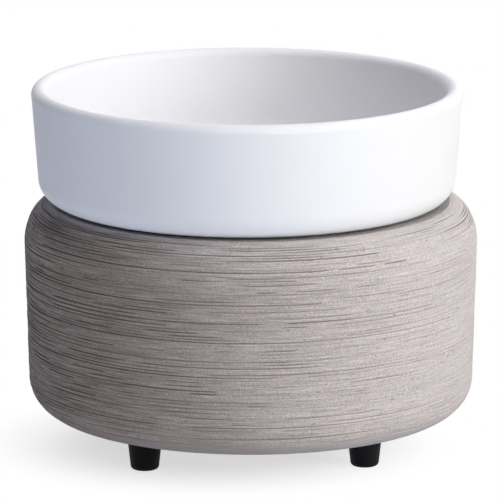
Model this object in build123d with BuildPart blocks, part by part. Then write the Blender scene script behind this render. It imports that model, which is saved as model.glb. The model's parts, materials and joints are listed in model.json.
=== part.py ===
from build123d import *

import os
from math import asin, cos, degrees, pi, radians, sin, sqrt, tan

# Wax melt warmer with a hot plate: a lift-off glazed dish on a combed ceramic body.
# Millimetres, +Z up. The origin is the centre of the plane that the feet stand on.
# -Y is the front, and +Y is the rear, where the mains lead goes in.

os.makedirs("parts", exist_ok=True)

# Clearances shared by the whole assembly
hand_gap = 0.3  # between pieces put together by hand
close_gap = 0.1  # between a stud or a neck and its hole
rest_gap = 0.3  # between the lift-off dish and what it stands on
cut_overrun = 2.0  # how far a cut runs past its piece

# Hot plate
plate_radius = 47.0
plate_thickness = 2.0
plate_edge_chamfer = 0.4
plate_groove_inset = 4.8  # of the groove's outer edge from the plate's edge
plate_groove_width = 1.2
plate_groove_depth = 0.4
plate_boss_radius = 5.0
plate_boss_clearance = 1.3  # above the cup, so that the pad is pressed and not the boss
stud_cover = 3.0  # aluminium left above the blind stud hole

# Moulded ring that carries the plate
carrier_flange_thickness = 1.5
carrier_lip_width = 3.2
carrier_lip_height = 3.0
carrier_lip_round = 0.8
carrier_seat_width = 4.8  # ledge under the edge of the plate
carrier_skirt_wall = 2.0
carrier_boss_radius = 4.6
carrier_boss_height = 6.5
carrier_boss_sink = 0.5  # how far a boss runs into the skirt
seal_thickness = 0.5
seal_width = 4.4

# Heater and its clamp, under the plate
mica_thickness = 0.5
cover_mica_inset = 2.6  # from the carrier's skirt
card_thickness = 0.5
ribbon_thickness = 0.3
ribbon_width = 2.2
ribbon_first_radius = 9.5
ribbon_edge_margin = 3.5  # of mica outside the last track
ribbon_slot_width = 7.0
ribbon_track_count = 5
terminal_offset = 8.5  # of each terminal from the middle
channel_width = 8.8  # between the cup and the carrier's skirt
tab_width = 3.0
pad_thickness = 6.0
cup_thickness = 1.2
cup_wall = 1.0
cup_rim_height = 3.0
cup_hole_radius = 5.0
cup_hole_ring_share = 0.62  # of the cup's radius
stud_radius = 2.5
stud_tip_chamfer = 0.5
stud_tail = 1.8  # stud that shows below the last nut
nut_across_flats = 8.0
nut_height = 4.0
spider_thickness = 1.2
spider_hub_radius = 10.0
spider_arm_width = 9.0
spider_rib_width = 2.6
spider_rib_height = 1.0

# Thermal fuse, its clip and the crimped joints, in the channel between cup and skirt
fuse_radius = 2.0
fuse_length = 8.0
fuse_wire_radius = 0.5
fuse_lead_share = 0.35  # of the spare channel, left for the wire between crimp and fuse
barrel_radius = 1.6
barrel_length = 5.5
crimp_length_share = 3.0  # of the barrel's radius
splice_boss_gap = 2.5  # between the splice and the carrier's next boss
clip_thickness = 0.5
clip_width = 5.0
clip_lip_height = 1.6

# Ceramic body
body_underside = 13.1  # above the table
body_height = 61.4
body_wall = 4.5
body_inner_round = 5.0
top_land_width = 6.0  # flat ring round the recess for the plate
recess_depth = 5.5
recess_ledge_width = 6.0
shoulder_width = 8.0
shoulder_height = 11.5
heel_radius = 10.4
heel_inset = 1.0  # by which the wall leans in towards the heel
bottom_rim_width = 3.6  # underside ring outside the pan
pan_recess_depth = 3.2
pan_ledge_width = 3.5
pan_ledge_thickness = 4.0

# Inlet for the mains lead, in the rear wall
inlet_height = 34.0
inlet_hole_radius = 6.0
inlet_spot_depth = 0.9  # flat round the hole, below the wall's own surface
grommet_flange_radius = 8.0
grommet_flange_thickness = 1.5
grommet_bore_radius = 3.2
grommet_edge_chamfer = 0.5

# Dish
dish_wall = 4.57
dish_height = 32.9  # from its underside to the rim
dish_joint_gap = 0.4  # dark line between the dish and the body
dish_rim_radius = 61.59
dish_low_radius = 59.83
dish_corner_radius = 6.84
dish_inner_corner_radius = 9.0
dish_floor_thickness = 5.5
dish_side_play = 1.4  # round the foot of the dish, inside the carrier's lip
dish_shift_share = -0.786  # of the side play, by which the dish stands to the left
dish_foot_chamfer = 0.6

# Base pan
pan_floor_thickness = 2.2
pan_edge_round = 0.6
gasket_thickness = 0.6
pan_wall_thickness = 1.8
pan_wall_height = 4.3
pan_rib_thickness = 1.6
pan_rib_height = 3.0
pan_hub_radius = 12.0
pan_tower_radius = 4.6
pan_tower_height = 6.3
pan_post_radius = 3.0
vent_width = 2.4
vent_first_radius = 18.5
vent_pitch = 6.0
vent_row_count = 3
vent_end_clearance = 4.0  # floor left between the end of a slot and a rib
pan_sector_count = 6

# Feet
foot_bottom_radius = 3.98
foot_top_radius = 5.6
foot_edge_round = 1.2
foot_pocket_depth = 1.2
foot_boss_radius = 7.2
foot_boss_height = 1.8
foot_edge_margin = 0.8  # between a foot's boss and the pan's wall
foot_neck_radius = 2.9
foot_barb_radius = 3.9
foot_barb_tip_radius = 2.2
foot_barb_height = 2.6

# Tie pillars and their screws
pillar_across_flats = 7.0
pillar_stud_radius = 2.0
pillar_stud_length = 5.0
pillar_bore_depth = 12.0
screw_radius = 1.5
screw_length = 10.5
screw_head_radius = 2.8
screw_head_height = 2.0
screw_head_round = 0.7
screw_seat_thickness = 4.5  # plastic between the screw's head and the pillar

# Terminal block
block_width = 17.0
block_length = 20.0
block_deck_height = 9.0
block_height = 12.0
block_edge_round = 1.5
block_centre_y = 8.0
block_pole_spacing = 9.2
block_screw_spacing = 10.0
block_tower_radius = 3.2
block_well_radius = 2.2
block_well_depth = 2.4
sleeve_height = 6.0  # of the axis of the brass sleeves, above the block's underside
sleeve_radius = 2.4
sleeve_bore_radius = 1.8
sleeve_end_inset = 1.0
terminal_screw_radius = 1.3
terminal_screw_head_height = 1.6
block_screw_radius = 1.4
block_screw_depth = 4.0  # into the pan's post
block_screw_head_radius = 2.4
block_screw_head_height = 1.6

# Inner leads
lead_radius = 1.1
lead_insertion = 1.8  # past the axis of the screw that holds it
lead_exit_run = 9.0
lead_top_run = 9.0
lead_bend_share = 0.45
lead_way_shares = [(0.45, 0.12), (0.85, 0.5)]  # across and up, of the lead's reach and rise

# Counts and angles
quarter_turn = 90.0
full_turn = 360.0
hexagon_side_count = 6
support_count = 3  # feet, pillars and spider arms alike
pillar_start_angle = 30.0
foot_start_angle = 90.0
block_pole_count = 2
block_screws_per_pole_count = 2
foot_names = ["rear_foot", "left_foot", "right_foot"]

# Levels of the body and the pan, upwards from the table
body_top = body_underside + body_height
pan_ledge_level = body_underside + pan_recess_depth
inner_floor_level = pan_ledge_level + pan_ledge_thickness
pan_top = pan_ledge_level - gasket_thickness
pan_underside = pan_top - pan_floor_thickness
foot_seat = pan_underside + foot_pocket_depth
foot_boss_top = pan_top + foot_boss_height
tower_top = pan_top + pan_tower_height
screw_seat = tower_top - screw_seat_thickness
block_base = pan_top + pan_rib_height
sleeve_level = block_base + sleeve_height

# Levels of the carrier and the plate
ledge_level = body_top - recess_depth
inner_top_level = ledge_level - body_wall
flange_level = ledge_level + seal_thickness
plate_underside = flange_level + carrier_flange_thickness
plate_top = plate_underside + plate_thickness
lip_top = plate_underside + carrier_lip_height
stud_hole_end = plate_top - stud_cover

# Levels of the heater and its clamp, downwards from the plate
cover_mica_level = plate_underside - mica_thickness
ribbon_level = cover_mica_level - ribbon_thickness
card_level = ribbon_level - card_thickness
under_mica_level = card_level - mica_thickness
pad_level = under_mica_level - pad_thickness
cup_level = pad_level - cup_thickness
skirt_end = cup_level - nut_height
spider_level = skirt_end - spider_thickness
clamp_nut_level = spider_level - nut_height
fuse_level = cover_mica_level - close_gap - fuse_radius
clip_level = fuse_level - fuse_radius - clip_thickness

# Radii, outwards from the plate
lip_inner_radius = plate_radius + hand_gap + close_gap
carrier_radius = lip_inner_radius + carrier_lip_width
skirt_inner_radius = lip_inner_radius - carrier_seat_width
skirt_radius = skirt_inner_radius + carrier_skirt_wall
recess_radius = carrier_radius + hand_gap + close_gap
top_opening_radius = recess_radius - recess_ledge_width
shoulder_start = recess_radius + top_land_width
body_radius = shoulder_start + shoulder_width
heel_wall_radius = body_radius - heel_inset
heel_start = heel_wall_radius - heel_radius

# Radii, inwards from the heel
pan_recess_radius = heel_start - bottom_rim_width
pan_radius = pan_recess_radius - hand_gap
pan_opening_radius = pan_recess_radius - pan_ledge_width
pan_wall_radius = pan_opening_radius - hand_gap
pan_wall_inner_radius = pan_wall_radius - pan_wall_thickness
foot_ring = pan_wall_inner_radius - foot_edge_margin - foot_boss_radius

# Radii of the heater, inwards from the carrier's skirt
cover_mica_radius = skirt_inner_radius - cover_mica_inset
cup_radius = skirt_inner_radius - channel_width
cup_hole_ring_radius = cup_radius * cup_hole_ring_share
mica_radius = cup_radius - cup_wall - hand_gap
channel_radius = (cup_radius + skirt_inner_radius) / 2
ribbon_last_radius = mica_radius - ribbon_edge_margin - ribbon_width / 2
ribbon_pitch = (ribbon_last_radius - ribbon_first_radius) / (ribbon_track_count - 1)
pillar_ring = skirt_inner_radius + carrier_boss_sink - carrier_boss_radius

# Dish
dish_centre_x = dish_side_play * dish_shift_share
dish_foot_radius = lip_inner_radius - dish_side_play
dish_bottom = plate_top + rest_gap
dish_underside = body_top + dish_joint_gap
dish_floor_level = dish_bottom + dish_floor_thickness
dish_lip_radius = dish_wall / 2
dish_lip_level = dish_underside + dish_height - dish_lip_radius
dish_corner_start = dish_low_radius - dish_corner_radius

# Inlet
wall_lean = heel_inset / (body_height - shoulder_height - heel_radius)
inlet_wall_radius = heel_wall_radius + (inlet_height - body_underside - heel_radius) * wall_lean
inlet_spot_y = inlet_wall_radius - inlet_spot_depth
grommet_face_y = inlet_spot_y + grommet_flange_thickness
inner_flange_y = sqrt((inlet_wall_radius - body_wall) ** 2 - grommet_flange_radius**2) - hand_gap
grommet_end_y = inner_flange_y - grommet_flange_thickness


def on_circle(radius, angle, level=0):
    """Point at an angle on a circle round the axis."""
    return Vector(radius * cos(radians(angle)), radius * sin(radians(angle)), level)


def upright_plane(x, y):
    """Plane for the profile of a piece that is revolved round a vertical axis at x, y."""
    return Plane(origin=(x, y, 0), x_dir=(1, 0, 0), z_dir=(0, -1, 0))


def upright_axis(x, y):
    """Vertical axis at x, y."""
    return Axis((x, y, 0), (0, 0, 1))


def terminal_places():
    """Places of the four terminal screws, round the middle of the block."""
    return GridLocations(
        block_pole_spacing, block_screw_spacing, block_pole_count, block_screws_per_pole_count
    )


# Dish: a turned bowl with a full round lip and a foot that nests in the carrier
with BuildPart() as dish:
    with BuildSketch(upright_plane(dish_centre_x, 0)):
        with BuildLine():
            underside = Polyline(
                (0, dish_bottom),
                (dish_foot_radius - dish_foot_chamfer, dish_bottom),
                (dish_foot_radius, dish_bottom + dish_foot_chamfer),
                (dish_foot_radius, dish_underside),
                (dish_corner_start, dish_underside),
            )
            corner_centre = (dish_corner_start, dish_underside + dish_corner_radius)
            corner = CenterArc(corner_centre, dish_corner_radius, -quarter_turn, quarter_turn)
            Line(corner @ 1, (dish_rim_radius, dish_lip_level))
            lip_centre = (dish_rim_radius - dish_lip_radius, dish_lip_level)
            CenterArc(lip_centre, dish_lip_radius, 0, quarter_turn)
            inner_lip = CenterArc(lip_centre, dish_lip_radius, quarter_turn, quarter_turn)
            inside = FilletPolyline(
                inner_lip @ 1,
                (dish_low_radius - dish_wall, dish_floor_level),
                (0, dish_floor_level),
                radius=dish_inner_corner_radius,
            )
            Line(inside @ 1, underside @ 0)
        make_face()
    revolve(axis=upright_axis(dish_centre_x, 0))
dish.part.label = "dish"
export_step(dish.part, "parts/dish.step")


# Ceramic body: a hollow shell, recessed at the top for the plate and below for the pan
with BuildPart() as body_shell:
    with BuildSketch(Plane.XZ):
        with BuildLine():
            heel_centre = (heel_start, body_underside + heel_radius)
            heel = CenterArc(heel_centre, heel_radius, -quarter_turn, quarter_turn)
            shoulder = EllipticalCenterArc(
                (shoulder_start, body_top - shoulder_height),
                shoulder_width,
                shoulder_height,
                start_angle=0,
                arc_size=quarter_turn,
            )
            Line(heel @ 1, shoulder @ 0)
            recess = Polyline(
                shoulder @ 1,
                (recess_radius, body_top),
                (recess_radius, ledge_level),
                (top_opening_radius, ledge_level),
                (top_opening_radius, inner_top_level),
            )
            hollow = FilletPolyline(
                recess @ 1,
                (body_radius - body_wall, inner_top_level),
                (heel_wall_radius - body_wall, inner_floor_level),
                (pan_opening_radius, inner_floor_level),
                radius=body_inner_round,
            )
            Polyline(
                hollow @ 1,
                (pan_opening_radius, pan_ledge_level),
                (pan_recess_radius, pan_ledge_level),
                (pan_recess_radius, body_underside),
                heel @ 0,
            )
        make_face()
    revolve(axis=Axis.Z)
    inlet_plane = Plane(origin=(0, 0, inlet_height), x_dir=(1, 0, 0), z_dir=(0, 1, 0))
    with BuildSketch(inlet_plane):
        Circle(inlet_hole_radius)
    extrude(amount=body_radius + cut_overrun, mode=Mode.SUBTRACT)
    with BuildSketch(inlet_plane.offset(inlet_spot_y)):
        Circle(grommet_flange_radius + hand_gap)
    extrude(amount=body_radius - inlet_spot_y + cut_overrun, mode=Mode.SUBTRACT)
body_shell.part.label = "body_shell"
export_step(body_shell.part, "parts/body_shell.step")


# Inlet grommet: a rubber spool through the rear wall, bored for the mains lead
with BuildPart() as inlet_grommet:
    with BuildSketch(Plane.YZ):
        bore_level = inlet_height + grommet_bore_radius
        neck_level = inlet_height + inlet_hole_radius - close_gap
        rim_level = inlet_height + grommet_flange_radius
        with BuildLine():
            Polyline(
                (grommet_end_y, bore_level),
                (grommet_end_y, rim_level - grommet_edge_chamfer),
                (grommet_end_y + grommet_edge_chamfer, rim_level),
                (inner_flange_y, rim_level),
                (inner_flange_y, neck_level),
                (inlet_spot_y, neck_level),
                (inlet_spot_y, rim_level),
                (grommet_face_y - grommet_edge_chamfer, rim_level),
                (grommet_face_y, rim_level - grommet_edge_chamfer),
                (grommet_face_y, bore_level),
                close=True,
            )
        make_face()
    revolve(axis=Axis((0, 0, inlet_height), (0, 1, 0)))
inlet_grommet.part.label = "inlet_grommet"
export_step(inlet_grommet.part, "parts/inlet_grommet.step")


# Plate carrier: a moulded ring with a lip, a skirt through the body's opening and bosses
with BuildPart() as plate_carrier:
    with BuildSketch(Plane.XZ):
        with BuildLine():
            raised_lip = FilletPolyline(
                (lip_inner_radius, plate_underside),
                (lip_inner_radius, lip_top),
                (carrier_radius, lip_top),
                (carrier_radius, flange_level),
                radius=carrier_lip_round,
            )
            Polyline(
                raised_lip @ 1,
                (skirt_radius, flange_level),
                (skirt_radius, skirt_end),
                (skirt_inner_radius, skirt_end),
                (skirt_inner_radius, plate_underside),
                raised_lip @ 0,
            )
        make_face()
    revolve(axis=Axis.Z)
    with BuildSketch(Plane.XY.offset(skirt_end)):
        with PolarLocations(pillar_ring, support_count, pillar_start_angle):
            Circle(carrier_boss_radius)
    extrude(amount=carrier_boss_height)
    with BuildSketch(Plane.XY.offset(skirt_end)):
        with PolarLocations(pillar_ring, support_count, pillar_start_angle):
            Circle(pillar_stud_radius + close_gap)
    extrude(amount=pillar_stud_length + close_gap, mode=Mode.SUBTRACT)
plate_carrier.part.label = "plate_carrier"
export_step(plate_carrier.part, "parts/plate_carrier.step")


# Seal between the carrier's flange and the ceramic ledge
with BuildPart() as carrier_seal:
    with BuildSketch(Plane.XY.offset(ledge_level)):
        Circle(carrier_radius)
        Circle(carrier_radius - seal_width, mode=Mode.SUBTRACT)
    extrude(amount=seal_thickness)
carrier_seal.part.label = "carrier_seal"
export_step(carrier_seal.part, "parts/carrier_seal.step")


# Hot plate: a cast aluminium disc with a turned groove, and a centre boss for the stud
with BuildPart() as hot_plate:
    with BuildSketch(Plane.XZ):
        groove_floor = plate_top - plate_groove_depth
        groove_end = plate_radius - plate_groove_inset
        groove_start = groove_end - plate_groove_width
        stud_hole_radius = stud_radius + close_gap
        with BuildLine():
            Polyline(
                (0, stud_hole_end),
                (stud_hole_radius, stud_hole_end),
                (stud_hole_radius, pad_level + plate_boss_clearance),
                (plate_boss_radius, pad_level + plate_boss_clearance),
                (plate_boss_radius, plate_underside),
                (plate_radius, plate_underside),
                (plate_radius, plate_top - plate_edge_chamfer),
                (plate_radius - plate_edge_chamfer, plate_top),
                (groove_end, plate_top),
                (groove_end - plate_groove_depth, groove_floor),
                (groove_start + plate_groove_depth, groove_floor),
                (groove_start, plate_top),
                (0, plate_top),
                close=True,
            )
        make_face()
    revolve(axis=Axis.Z)
hot_plate.part.label = "hot_plate"
export_step(hot_plate.part, "parts/hot_plate.step")


# Flat layers of the heater, pierced for the plate's boss: name, level, radius, thickness
layers = [
    ("cover_mica", cover_mica_level, cover_mica_radius, mica_thickness),
    ("heater_card", card_level, mica_radius, card_thickness),
    ("under_mica", under_mica_level, mica_radius, mica_thickness),
    ("insulation_pad", pad_level, mica_radius, pad_thickness),
]
for layer_name, level, radius, thickness in layers:
    with BuildPart() as layer:
        with BuildSketch(Plane.XY.offset(level)):
            Circle(radius)
            Circle(plate_boss_radius + hand_gap, mode=Mode.SUBTRACT)
        extrude(amount=thickness)
    layer.part.label = layer_name
    export_step(layer.part, f"parts/{layer_name}.step")


# Heater ribbon: one unbroken labyrinth of nested tracks that turn back at a front slot
track_radii = [ribbon_first_radius + track * ribbon_pitch for track in range(ribbon_track_count)]
link_x = (ribbon_slot_width + ribbon_width) / 2
terminal_y = -sqrt(channel_radius**2 - terminal_offset**2)
with BuildPart() as heater_ribbon:
    with BuildSketch(Plane.XY.offset(ribbon_level)):
        for track_radius in reversed(track_radii):
            Circle(track_radius + ribbon_width / 2)
            Circle(track_radius - ribbon_width / 2, mode=Mode.SUBTRACT)
        with Locations((0, -track_radii[-1])):
            Rectangle(ribbon_slot_width, 2 * track_radii[-1], mode=Mode.SUBTRACT)
        track_ends = [-sqrt(track_radius**2 - link_x**2) for track_radius in track_radii]
        for track, (near_y, far_y) in enumerate(zip(track_ends, track_ends[1:])):
            side = 1 if track % 2 else -1
            with Locations((side * link_x, (near_y + far_y) / 2)):
                Rectangle(ribbon_width, near_y - far_y)
        lead_outs = [
            ((link_x, track_ends[0]), (0, track_ends[0])),
            ((0, track_ends[0]), (0, terminal_y)),
            ((0, terminal_y), (terminal_offset, terminal_y)),
            ((-link_x, track_ends[-1]), (-link_x, terminal_y)),
            ((-link_x, terminal_y), (-terminal_offset, terminal_y)),
        ]
        for (start_x, start_y), (end_x, end_y) in lead_outs:
            with Locations(((start_x + end_x) / 2, (start_y + end_y) / 2)):
                Rectangle(abs(end_x - start_x) + ribbon_width, abs(end_y - start_y) + ribbon_width)
        with Locations((terminal_offset, terminal_y), (-terminal_offset, terminal_y)):
            Rectangle(tab_width, tab_width)
    extrude(amount=ribbon_thickness)
heater_ribbon.part.label = "heater_ribbon"
export_step(heater_ribbon.part, "parts/heater_ribbon.step")


# Pressure cup: a pressed steel dish round the pad, with three lightening holes
with BuildPart() as pressure_cup:
    with BuildSketch(Plane.XY.offset(cup_level)):
        Circle(cup_radius)
        Circle(stud_radius + close_gap, mode=Mode.SUBTRACT)
        with PolarLocations(cup_hole_ring_radius, support_count, pillar_start_angle):
            Circle(cup_hole_radius, mode=Mode.SUBTRACT)
    extrude(amount=cup_thickness)
    with BuildSketch(Plane.XY.offset(pad_level)):
        Circle(cup_radius)
        Circle(cup_radius - cup_wall, mode=Mode.SUBTRACT)
    extrude(amount=cup_rim_height)
pressure_cup.part.label = "pressure_cup"
export_step(pressure_cup.part, "parts/pressure_cup.step")


# Clamp spider: three ribbed steel arms that bear on the end of the carrier's skirt
with BuildPart() as clamp_spider:
    with BuildSketch(Plane.XY.offset(spider_level)):
        Circle(spider_hub_radius)
        with PolarLocations(skirt_radius / 2, support_count, foot_start_angle):
            Rectangle(skirt_radius, spider_arm_width)
        Circle(skirt_radius, mode=Mode.INTERSECT)
        Circle(stud_radius + close_gap, mode=Mode.SUBTRACT)
    extrude(amount=spider_thickness)
    rib_start = spider_hub_radius - spider_rib_width
    rib_length = skirt_inner_radius - spider_rib_width - rib_start
    with BuildSketch(Plane.XY.offset(spider_level)):
        with PolarLocations(rib_start + rib_length / 2, support_count, foot_start_angle):
            SlotOverall(rib_length, spider_rib_width)
    extrude(amount=-spider_rib_height)
clamp_spider.part.label = "clamp_spider"
export_step(clamp_spider.part, "parts/clamp_spider.step")


# Centre stud, screwed into the plate's boss
stud_end = clamp_nut_level - stud_tail
with BuildPart() as centre_stud:
    with BuildSketch(Plane.XY.offset(stud_end)):
        Circle(stud_radius)
    extrude(amount=stud_hole_end - close_gap - stud_end)
    chamfer(centre_stud.faces().sort_by(Axis.Z)[0].edges(), stud_tip_chamfer)
centre_stud.part.label = "centre_stud"
export_step(centre_stud.part, "parts/centre_stud.step")


# The nuts on the stud: one lifts the cup, and one pulls the plate down on the spider
for nut_name, nut_level in [("cup_nut", skirt_end), ("clamp_nut", clamp_nut_level)]:
    with BuildPart() as nut:
        with BuildSketch(Plane.XY.offset(nut_level)):
            RegularPolygon(nut_across_flats / 2, hexagon_side_count, major_radius=False)
            Circle(stud_radius + close_gap, mode=Mode.SUBTRACT)
        extrude(amount=nut_height)
    nut.part.label = nut_name
    export_step(nut.part, f"parts/{nut_name}.step")


# Angles round the channel, from the ribbon's tab to the boss before which the splice hangs
terminal_angle = degrees(asin(terminal_y / channel_radius))
splice_reach = carrier_boss_radius + splice_boss_gap + barrel_radius
splice_angle = -pillar_start_angle - degrees(splice_reach / channel_radius)
fuse_crimp_length = barrel_radius * crimp_length_share
half_crimp_turn = degrees((fuse_crimp_length / 2 + close_gap) / channel_radius)
fuse_turn = degrees(fuse_length / channel_radius)
spare_turn = splice_angle - terminal_angle - half_crimp_turn - fuse_turn
fuse_angle = terminal_angle + half_crimp_turn + spare_turn * fuse_lead_share + fuse_turn / 2


# Fuse crimp: it joins the ribbon's tab to the wire of the thermal fuse
crimp_middle = on_circle(channel_radius, terminal_angle, fuse_level)
crimp_direction = on_circle(1, terminal_angle + quarter_turn)
with BuildPart() as fuse_crimp:
    crimp_plane = Plane(origin=crimp_middle, x_dir=(0, 0, 1), z_dir=crimp_direction)
    with BuildSketch(crimp_plane):
        Circle(barrel_radius)
    extrude(amount=fuse_crimp_length / 2, both=True)
    with BuildSketch(Plane.XY.offset(fuse_level)):
        with Locations((crimp_middle.X, crimp_middle.Y)):
            Rectangle(tab_width, tab_width)
    extrude(amount=ribbon_level - fuse_level)
fuse_crimp.part.label = "fuse_crimp"
export_step(fuse_crimp.part, "parts/fuse_crimp.step")


# Thermal fuse: a small can in the channel, with its wire bent down into the splice
splice_top = fuse_level - barrel_radius
wire_start = terminal_angle + half_crimp_turn
with BuildPart() as thermal_fuse:
    fuse_plane = Plane(
        origin=on_circle(channel_radius, fuse_angle, fuse_level),
        x_dir=(0, 0, 1),
        z_dir=on_circle(1, fuse_angle + quarter_turn),
    )
    with BuildSketch(fuse_plane):
        Circle(fuse_radius)
    extrude(amount=fuse_length / 2, both=True)
    with BuildLine() as wire:
        CenterArc((0, 0, fuse_level), channel_radius, wire_start, splice_angle - wire_start)
    with BuildSketch(Plane(origin=wire.line @ 0, z_dir=wire.line % 0)):
        Circle(fuse_wire_radius)
    sweep(path=wire.line)
    with Locations(wire.line @ 1):
        Sphere(fuse_wire_radius)
    with BuildSketch(Plane(on_circle(channel_radius, splice_angle, splice_top))):
        Circle(fuse_wire_radius)
    extrude(amount=fuse_level - splice_top)
thermal_fuse.part.label = "thermal_fuse"
export_step(thermal_fuse.part, "parts/thermal_fuse.step")


# Fuse clip: a shelf welded to the cup's rim, which holds the fuse up to the mica
clip_inner = sqrt(cup_radius**2 + (clip_width / 2) ** 2)
clip_outer = channel_radius + fuse_radius + close_gap
with BuildPart() as fuse_clip:
    clip_plane = Plane(origin=(0, 0, clip_level), x_dir=on_circle(1, fuse_angle), z_dir=(0, 0, 1))
    with BuildSketch(clip_plane):
        with Locations(((clip_inner + clip_outer) / 2, 0)):
            Rectangle(clip_outer - clip_inner, clip_width)
    extrude(amount=clip_thickness)
    with BuildSketch(clip_plane):
        with Locations((clip_outer + clip_thickness / 2, 0)):
            Rectangle(clip_thickness, clip_width)
    extrude(amount=clip_thickness + clip_lip_height)
    with BuildSketch(clip_plane):
        with Locations((clip_inner + clip_thickness / 2, 0)):
            Rectangle(clip_thickness, clip_width)
    extrude(amount=pad_level - clip_level)
fuse_clip.part.label = "fuse_clip"
export_step(fuse_clip.part, "parts/fuse_clip.step")


# Neutral crimp: a tongue under the ribbon's other tab, with a barrel for the lead
neutral_end = Vector(-terminal_offset, terminal_y, card_level - barrel_length)
with BuildPart() as neutral_crimp:
    with BuildSketch(Plane.XY.offset(card_level)):
        with Locations((neutral_end.X, neutral_end.Y)):
            Rectangle(tab_width, tab_width)
    extrude(amount=ribbon_level - card_level)
    with BuildSketch(Plane(neutral_end)):
        Circle(barrel_radius)
    extrude(amount=barrel_length)
neutral_crimp.part.label = "neutral_crimp"
export_step(neutral_crimp.part, "parts/neutral_crimp.step")


# Live splice: a barrel that joins the fuse's wire to the lead
live_end = on_circle(channel_radius, splice_angle, splice_top - barrel_length)
with BuildPart() as live_splice:
    with BuildSketch(Plane(live_end)):
        Circle(barrel_radius)
    extrude(amount=barrel_length)
live_splice.part.label = "live_splice"
export_step(live_splice.part, "parts/live_splice.step")


# Tie pillars: hexagonal standoffs from the pan's towers up to the carrier's bosses
with BuildPart() as tie_pillars:
    with BuildSketch(Plane.XY.offset(tower_top)):
        with PolarLocations(pillar_ring, support_count, pillar_start_angle):
            RegularPolygon(pillar_across_flats / 2, hexagon_side_count, major_radius=False)
    extrude(amount=skirt_end - tower_top)
    with BuildSketch(Plane.XY.offset(skirt_end)):
        with PolarLocations(pillar_ring, support_count, pillar_start_angle):
            Circle(pillar_stud_radius)
    extrude(amount=pillar_stud_length)
    with BuildSketch(Plane.XY.offset(tower_top)):
        with PolarLocations(pillar_ring, support_count, pillar_start_angle):
            Circle(screw_radius + close_gap)
    extrude(amount=pillar_bore_depth, mode=Mode.SUBTRACT)
tie_pillars.part.label = "tie_pillars"
export_step(tie_pillars.part, "parts/tie_pillars.step")


# Base screws, up through the pan's towers into the pillars
with BuildPart() as base_screws:
    with BuildSketch(Plane.XY.offset(screw_seat)):
        with PolarLocations(pillar_ring, support_count, pillar_start_angle):
            Circle(screw_head_radius)
    extrude(amount=-screw_head_height)
    fillet(base_screws.faces().sort_by(Axis.Z)[:support_count].edges(), screw_head_round)
    with BuildSketch(Plane.XY.offset(screw_seat)):
        with PolarLocations(pillar_ring, support_count, pillar_start_angle):
            Circle(screw_radius)
    extrude(amount=screw_length)
base_screws.part.label = "base_screws"
export_step(base_screws.part, "parts/base_screws.step")


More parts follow.
